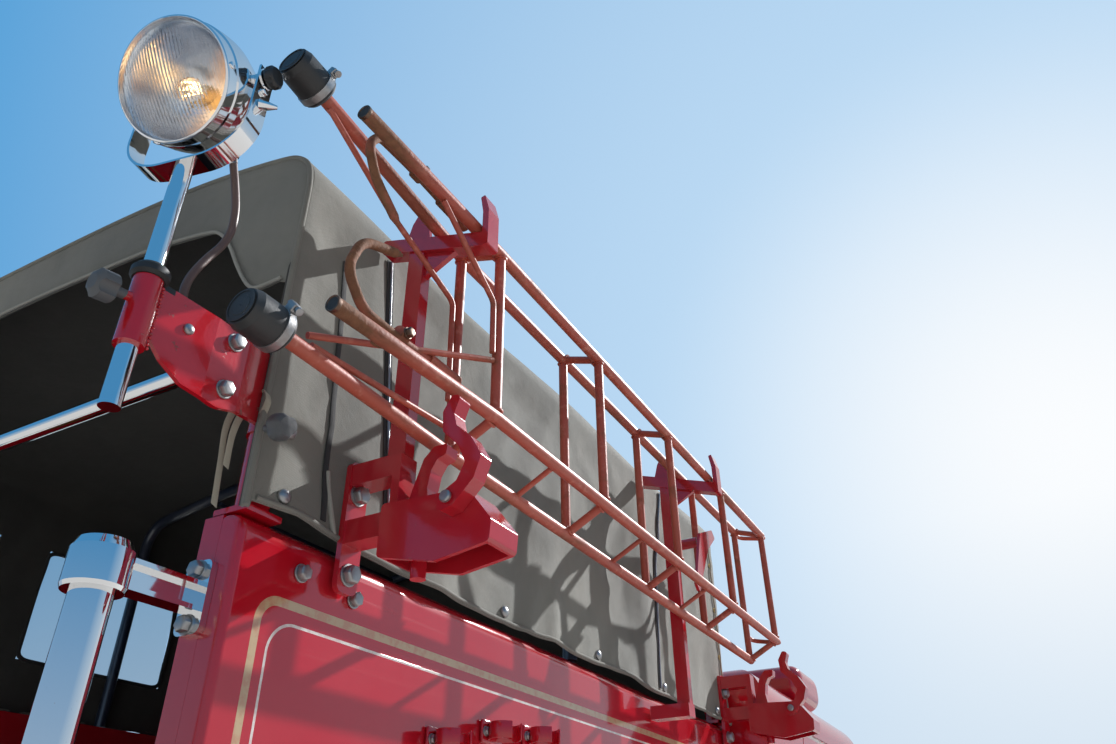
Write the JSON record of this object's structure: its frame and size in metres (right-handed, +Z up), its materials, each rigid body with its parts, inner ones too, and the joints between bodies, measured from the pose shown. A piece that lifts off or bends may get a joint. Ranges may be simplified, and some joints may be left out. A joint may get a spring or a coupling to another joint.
{
  "type": "light fire engine with canvas-topped crew body",
  "caption": "Bonneted light fire engine with a canvas-topped crew body, a side-carried truss ladder with hooks, a swivelling searchlight, hinged cab doors and steered front wheels.",
  "frame": {"origin": "on the floor, midway between the front bumper and the searchlight's rearmost point, on the vehicle's middle plane", "axes": "+X to the vehicle's left, +Y to its rear, +Z up"},
  "size_m": [1.7538, 4.5131, 2.1872],
  "materials": {
    "red": "gloss",
    "chassis_black": "satin",
    "chrome": "polished",
    "glass": "clear",
    "canvas": "matt",
    "seat_leather": "satin",
    "ladder_paint": "worn",
    "rubber": "satin",
    "tyre": "matt",
    "lamp_red": "gloss"
  },
  "bodies": {
    "root": {"bench_cushions": "seat_leather", "bonnet_sides": "red", "bumper": "chrome", "cab": "red", "cab_glass": "glass", "cab_seat_back": "seat_leather", "cab_seat_cushion": "seat_leather", "canopy": "canvas", "canopy_bows": "chassis_black", "chassis_frame": "chassis_black", "crew_body": "red", "dashboard": "chassis_black", "driveline": "chassis_black", "engine": "chassis_black", "front_axle": "chassis_black", "front_wings": "red", "grab_rails": "chrome", "grille": "red", "headlamp_glass": "glass", "headlamps": "chrome", "hose_rack": "chassis_black", "ladder": "ladder_paint", "ladder_brackets": "red", "ladder_caps": "rubber", "rear_axle": "chassis_black", "rear_wings": "red", "roof_locker": "red", "searchlight_bracket": "red", "searchlight_cable": "rubber", "springs": "chassis_black", "steps": "chassis_black", "suction_hoses": "rubber", "tail_lamps": "lamp_red"},
    "steering_wheel": {"steering_wheel": "chassis_black"},
    "bonnet": {"bonnet": "red"},
    "knuckle_left": {"knuckle_left": "chassis_black"},
    "knuckle_right": {"knuckle_right": "chassis_black"},
    "door_left": {"door_left": "red", "door_glass_left": "glass"},
    "door_right": {"door_right": "red", "door_glass_right": "glass"},
    "latch_rear": {"latch_rear": "red"},
    "latch_front": {"latch_front": "red"},
    "mast": {"searchlight_mast": "chrome"},
    "lamp": {"searchlight": "chrome", "searchlight_glass": "glass"},
    "wheel_front_left": {"wheel_front_left": "tyre"},
    "wheel_front_right": {"wheel_front_right": "tyre"},
    "wheel_rear_left": {"wheel_rear_left": "tyre"},
    "wheel_rear_right": {"wheel_rear_right": "tyre"}
  },
  "joints": [
    {"name": "steering_turn", "type": "hinge", "parent": "root", "child": "steering_wheel", "pos_m": [0.33, -0.47, 1.13], "axis": [0, 0.5832, 0.8123], "range_deg": [-450, 450]},
    {"name": "steer_left", "type": "hinge", "parent": "root", "child": "knuckle_left", "pos_m": [0.56, -1.56, 0.352], "axis": [0, 0, 1], "range_deg": [-30, 30]},
    {"name": "steer_right", "type": "hinge", "parent": "root", "child": "knuckle_right", "pos_m": [-0.56, -1.56, 0.352], "axis": [0, 0, 1], "range_deg": [-30, 30]},
    {"name": "bonnet_hinge", "type": "hinge", "parent": "root", "child": "bonnet", "pos_m": [0, -0.804, 1.263], "axis": [-1, 0, 0], "range_deg": [0, 50]},
    {"name": "door_left_hinge", "type": "hinge", "parent": "root", "child": "door_left", "pos_m": [0.75, -0.686, 1.1], "axis": [0, 0, -1], "range_deg": [0, 65]},
    {"name": "door_right_hinge", "type": "hinge", "parent": "root", "child": "door_right", "pos_m": [-0.75, -0.686, 1.1], "axis": [0, 0, 1], "range_deg": [0, 65]},
    {"name": "latch_rear_hinge", "type": "hinge", "parent": "root", "child": "latch_rear", "pos_m": [-0.836, 1.875, 1.61], "axis": [0, -1, 0], "range_deg": [0, 80]},
    {"name": "latch_front_hinge", "type": "hinge", "parent": "root", "child": "latch_front", "pos_m": [-0.836, 0.499, 1.61], "axis": [0, -1, 0], "range_deg": [0, 80]},
    {"name": "mast_swivel", "type": "hinge", "parent": "root", "child": "mast", "pos_m": [-0.66, 2.171, 1.8], "axis": [0, 0, 1], "range_deg": [-90, 3]},
    {"name": "lamp_tilt", "type": "hinge", "parent": "mast", "child": "lamp", "pos_m": [-0.66, 2.171, 2.05], "axis": [0.9789, 0.2045, 0], "range_deg": [-15, 60]},
    {"name": "spin_front_left", "type": "hinge", "parent": "knuckle_left", "child": "wheel_front_left", "pos_m": [0.69, -1.56, 0.352], "axis": [1, 0, 0], "continuous": true},
    {"name": "spin_front_right", "type": "hinge", "parent": "knuckle_right", "child": "wheel_front_right", "pos_m": [-0.69, -1.56, 0.352], "axis": [1, 0, 0], "continuous": true},
    {"name": "spin_rear_left", "type": "hinge", "parent": "root", "child": "wheel_rear_left", "pos_m": [0.735, 1.19, 0.352], "axis": [1, 0, 0], "continuous": true},
    {"name": "spin_rear_right", "type": "hinge", "parent": "root", "child": "wheel_rear_right", "pos_m": [-0.735, 1.19, 0.352], "axis": [1, 0, 0], "continuous": true}
  ],
  "couplings": [
    {"joint": "steer_right", "follows": "steer_left", "ratio": 1},
    {"joint": "steering_turn", "follows": "steer_left", "ratio": 15}
  ]
}
